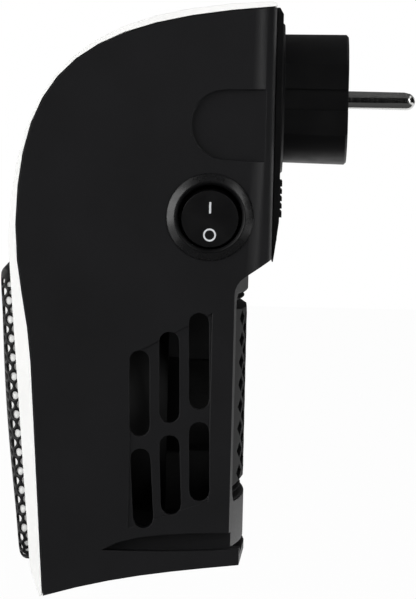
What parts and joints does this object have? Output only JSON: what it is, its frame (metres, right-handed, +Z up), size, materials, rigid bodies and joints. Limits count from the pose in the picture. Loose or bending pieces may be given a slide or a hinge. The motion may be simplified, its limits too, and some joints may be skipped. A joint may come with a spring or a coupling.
{
  "type": "plug-in fan heater",
  "caption": "Small fan heater that plugs straight into a wall socket and swivels on its plug, with a perforated front grille, rear air lattice, round side switch and display.",
  "frame": {"origin": "middle of the plug's front face, midway between the pins, where it meets the socket's face", "axes": "+Y along the pins into the wall, -Y out to the room side with the warm air grille, +Z up, X across the width"},
  "size_m": [0.0943, 0.1155, 0.166],
  "materials": {
    "black_plastic": "satin, fine moulded texture",
    "white_plastic": "smooth satin",
    "black_mesh": "satin black lacquer on perforated sheet",
    "smoked_lens": "polished, dark tinted",
    "nickel_plate": "bright nickel plate on brass",
    "brass": "plain stamped",
    "steel": "zinc plated",
    "aluminium": "rolled",
    "grey_plastic": "plain moulded",
    "green_board": "solder-masked circuit board",
    "blue_relay": "smooth moulded",
    "heat_board": "matt heat-proof moulding"
  },
  "bodies": {
    "plug": {"swivel_plug_body": "black_plastic", "plug_face_insert": "black_plastic", "plug_pin_right": "nickel_plate", "plug_pin_left": "nickel_plate", "pin_clip_right": "brass", "pin_clip_left": "brass"},
    "housing": {"rear_housing": "black_plastic", "front_shell": "white_plastic", "front_grille": "black_mesh", "grille_frame": "white_plastic", "rear_grille": "black_plastic", "rear_cover": "black_plastic", "swivel_retainer": "grey_plastic", "cover_screw_1": "steel", "cover_screw_2": "steel", "cover_screw_3": "steel", "cover_screw_4": "steel", "shell_screw_right": "steel", "shell_screw_left": "steel", "switch_housing": "black_plastic", "switch_blade_upper": "brass", "switch_blade_lower": "brass", "display_lens": "smoked_lens", "display_module": "grey_plastic", "display_board": "green_board", "tact_switch_1": "grey_plastic", "tact_switch_2": "grey_plastic", "tact_switch_3": "grey_plastic", "control_board": "green_board", "relay": "blue_relay", "transformer": "grey_plastic", "capacitor": "grey_plastic", "heater_frame": "heat_board", "heater_bar_1": "aluminium", "heater_bar_2": "aluminium", "heater_bar_3": "aluminium", "heater_fins_1": "aluminium", "heater_fins_2": "aluminium", "heater_fins_3": "aluminium", "heater_fins_4": "aluminium", "heater_terminal_right": "brass", "heater_terminal_left": "brass", "thermal_cutout": "steel", "thermal_fuse": "steel", "fan_duct": "black_plastic", "motor_can": "steel", "motor_end_cap": "grey_plastic"},
    "fan": {"motor_shaft": "steel", "impeller": "grey_plastic"},
    "rocker": {"rocker": "black_plastic"},
    "lock": {"plug_lock_slider": "black_plastic"},
    "key_1": {"key_1": "white_plastic"},
    "key_2": {"key_2": "white_plastic"},
    "key_3": {"key_3": "white_plastic"}
  },
  "joints": [
    {"name": "plug_swivel", "type": "hinge", "parent": "plug", "child": "housing", "pos_m": [0, 0, 0], "axis": [0, 1, 0], "range_deg": [-90, 90]},
    {"name": "fan_spin", "type": "hinge", "parent": "housing", "child": "fan", "pos_m": [0, -0.052, -0.088], "axis": [0, 1, 0], "continuous": true},
    {"name": "rocker_tilt", "type": "hinge", "parent": "housing", "child": "rocker", "pos_m": [0.043, -0.0383, -0.0327], "axis": [0, -1, 0], "range_deg": [0, 14]},
    {"name": "lock_slide", "type": "slide", "parent": "housing", "child": "lock", "axis": [0, 0, -1], "range_m": [0, 0.003], "stiffness_N_per_m": 400, "springref_m": -0.002},
    {"name": "key_1_press", "type": "slide", "parent": "housing", "child": "key_1", "axis": [0, 1, 0], "range_m": [0, 0.0005], "stiffness_N_per_m": 800, "springref_m": -0.0005},
    {"name": "key_2_press", "type": "slide", "parent": "housing", "child": "key_2", "axis": [0, 1, 0], "range_m": [0, 0.0005], "stiffness_N_per_m": 800, "springref_m": -0.0005},
    {"name": "key_3_press", "type": "slide", "parent": "housing", "child": "key_3", "axis": [0, 1, 0], "range_m": [0, 0.0005], "stiffness_N_per_m": 800, "springref_m": -0.0005}
  ]
}
